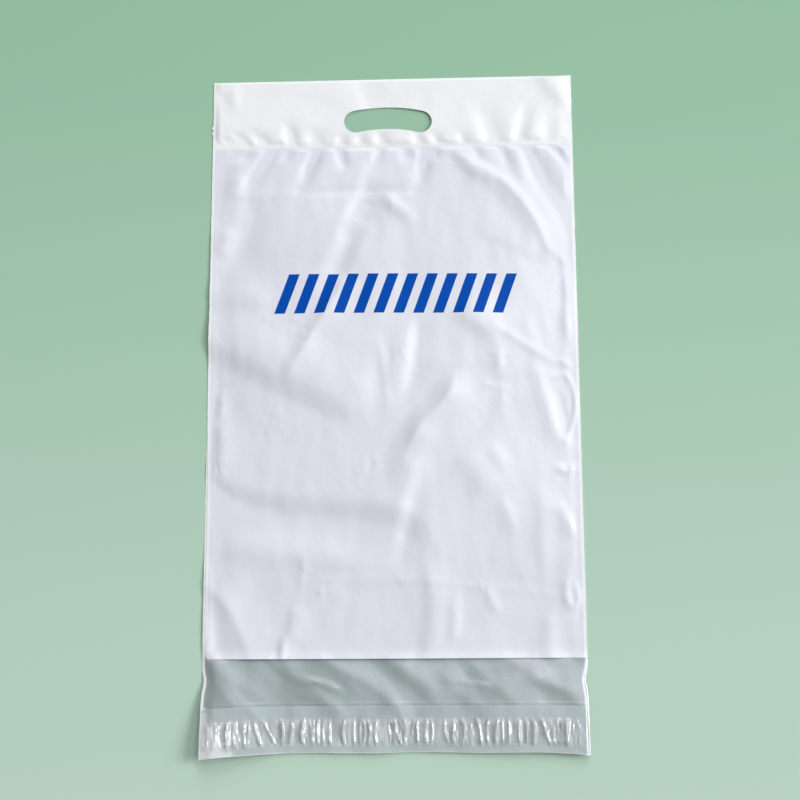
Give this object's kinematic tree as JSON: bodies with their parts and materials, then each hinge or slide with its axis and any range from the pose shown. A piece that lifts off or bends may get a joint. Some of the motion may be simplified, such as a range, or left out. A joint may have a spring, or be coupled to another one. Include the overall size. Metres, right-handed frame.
{
  "type": "poly mailer bag",
  "caption": "Flat polyethylene mailing bag with a punched carry slot, two side welds, a cross seal and an adhesive flap under a release liner.",
  "frame": {"origin": "centre of the footprint, on the surface that the bag lies on", "axes": "+X across the bag, +Y along it from the flap to the handle end, +Z out of the front face"},
  "size_m": [0.35, 0.645, 0.0258],
  "materials": {
    "film": "satin co-extruded film, white outside and grey inside",
    "hot_melt": "tacky hot-melt adhesive",
    "liner": "clear siliconed film"
  },
  "bodies": {
    "root": {"bag_film": "film", "adhesive_stripe": "hot_melt", "release_liner": "liner"}
  },
  "joints": []
}
